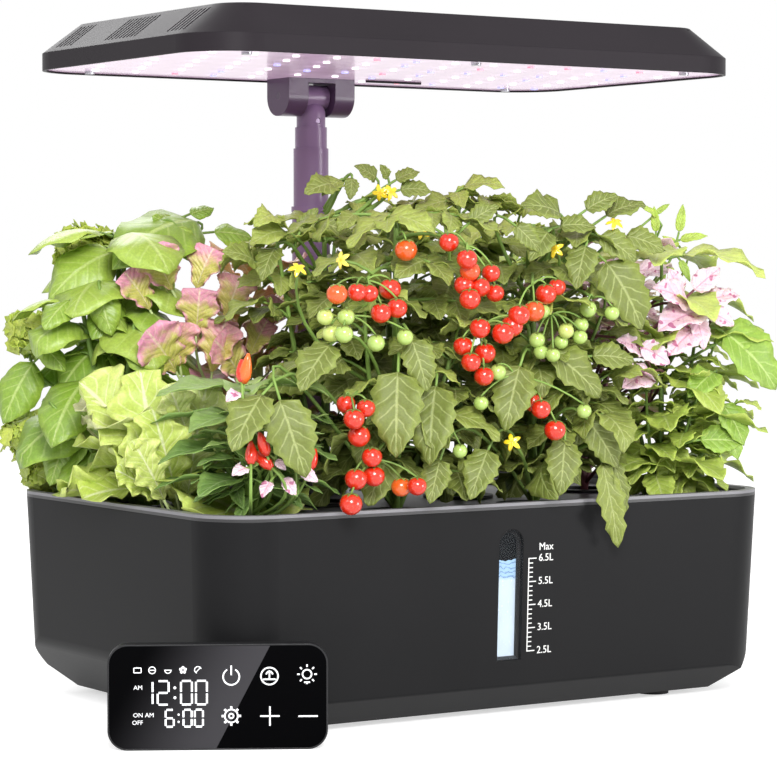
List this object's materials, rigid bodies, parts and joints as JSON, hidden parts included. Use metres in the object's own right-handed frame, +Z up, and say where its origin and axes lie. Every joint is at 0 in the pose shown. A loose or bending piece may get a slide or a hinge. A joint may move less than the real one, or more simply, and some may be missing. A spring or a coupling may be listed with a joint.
{
  "type": "countertop hydroponic garden",
  "caption": "Tabletop water-culture planter with herbs, tomatoes and lettuce under a grow lamp on a telescopic pole, with a sight window and a separate control pad.",
  "frame": {"origin": "centre of the tank's flat underside, which the rubber feet lift 3 mm off the table", "axes": "+X along the tank to the right as seen from the window side, +Y to the back, +Z up"},
  "size_m": [0.423, 0.2758, 0.373],
  "materials": {
    "tank_shell": "matte dark grey moulding",
    "deck_shell": "matte dark grey moulding",
    "window": "clear plastic",
    "seal": "soft black",
    "white_print": "white print",
    "foot_rubber": "matte black",
    "pump_shell": "matte black",
    "impeller": "white",
    "pad_case": "gloss black",
    "pad_face": "gloss black",
    "circuit_board": "green board",
    "battery_can": "plain",
    "plain_steel": "plain",
    "sponge": "dark brown open foam",
    "jack_body": "black",
    "pole_tube": "satin grey",
    "button_cap": "bright",
    "lamp_shell": "matte dark grey moulding",
    "light_board": "gloss white coating",
    "light_chip": "clear cap",
    "basket": "white",
    "tomato_leaf": "leaf",
    "basil_leaf": "glossy leaf",
    "pale_leaf": "crisp leaf",
    "red_leaf": "crisp leaf with red edges",
    "pepper_leaf": "leaf",
    "mint_leaf": "leaf",
    "coleus_leaf": "leaf with pink centre",
    "herb_leaf": "leaf",
    "stem": "downy stem",
    "ripe_fruit": "glossy skin",
    "green_fruit": "glossy skin",
    "flower": "petal"
  },
  "bodies": {
    "tank": {"outer_tank": "tank_shell", "window_pane": "window", "window_seal": "seal", "gauge_scale": "white_print", "rubber_feet": "foot_rubber", "pump_body": "pump_shell", "pump_cover": "pump_shell"},
    "impeller": {"pump_impeller": "impeller"},
    "pad": {"pad_shell": "pad_case", "pad_glass": "pad_face", "pad_display": "pad_face", "pad_board": "circuit_board", "pad_battery": "battery_can", "pad_battery_door": "pad_case", "pad_stand_pin": "plain_steel"},
    "stand": {"pad_stand": "pad_case"},
    "deck": {"grow_deck": "deck_shell", "pod_basket_1": "basket", "pod_basket_2": "basket", "pod_basket_3": "basket", "pod_basket_4": "basket", "pod_basket_5": "basket", "pod_basket_6": "basket", "pod_basket_7": "basket", "pod_basket_8": "basket", "pod_basket_9": "basket", "pod_basket_10": "basket", "pod_basket_11": "basket", "pod_basket_12": "basket", "grow_sponges": "sponge", "plant_1": "pepper_leaf", "plant_2": "tomato_leaf", "plant_3": "tomato_leaf", "plant_4": "mint_leaf", "plant_5": "pale_leaf", "plant_6": "tomato_leaf", "plant_7": "tomato_leaf", "plant_8": "coleus_leaf", "plant_9": "basil_leaf", "plant_10": "red_leaf", "plant_11": "tomato_leaf", "plant_12": "herb_leaf", "pole_base": "deck_shell", "control_board": "circuit_board", "dc_jack": "jack_body", "base_screws": "plain_steel", "pole_outer_tube": "pole_tube"},
    "flap": {"fill_flap": "deck_shell"},
    "lower_tube": {"pole_lower_tube": "pole_tube"},
    "middle_tube": {"pole_middle_tube": "pole_tube"},
    "neck": {"pole_neck": "pole_tube"},
    "button": {"lock_button": "button_cap", "button_spring": "plain_steel"},
    "lamp": {"lamp_housing": "lamp_shell", "led_board": "light_board", "led_chips": "light_chip", "hinge_bracket": "lamp_shell", "hinge_pin": "plain_steel", "lead_cover": "lamp_shell", "lamp_screws": "plain_steel"}
  },
  "joints": [
    {"name": "deck_lift", "type": "slide", "parent": "tank", "child": "deck", "axis": [0, 0, 1], "range_m": [0, 0.12]},
    {"name": "impeller_spin", "type": "hinge", "parent": "tank", "child": "impeller", "pos_m": [-0.0048, 0.061, 0.0186], "axis": [0, 1, 0], "continuous": true},
    {"name": "pad_away", "type": "slide", "parent": "tank", "child": "pad", "axis": [-0.5, -0.866, 0], "range_m": [0, 0.1]},
    {"name": "stand_swing", "type": "hinge", "parent": "pad", "child": "stand", "pos_m": [-0.18035, -0.11676, 0], "axis": [0, 0, 1], "range_deg": [-90, 0]},
    {"name": "flap_turn", "type": "hinge", "parent": "deck", "child": "flap", "pos_m": [0.09, 0.1131, 0.10685], "axis": [-1, 0, 0], "range_deg": [0, 95]},
    {"name": "lower_tube_slide", "type": "slide", "parent": "deck", "child": "lower_tube", "axis": [0, 0, 1], "range_m": [-0.033, 0.09]},
    {"name": "middle_tube_slide", "type": "slide", "parent": "lower_tube", "child": "middle_tube", "axis": [0, 0, 1], "range_m": [-0.011, 0.1]},
    {"name": "neck_slide", "type": "slide", "parent": "middle_tube", "child": "neck", "axis": [0, 0, 1], "range_m": [0, 0.1]},
    {"name": "button_press", "type": "slide", "parent": "neck", "child": "button", "axis": [0, 1, 0], "range_m": [0, 0.0015], "stiffness_N_per_m": 400, "springref_m": -0.001},
    {"name": "lamp_tilt", "type": "hinge", "parent": "neck", "child": "lamp", "pos_m": [-0.0048, 0.079, 0.335], "axis": [-1, 0, 0], "range_deg": [0, 30]}
  ]
}
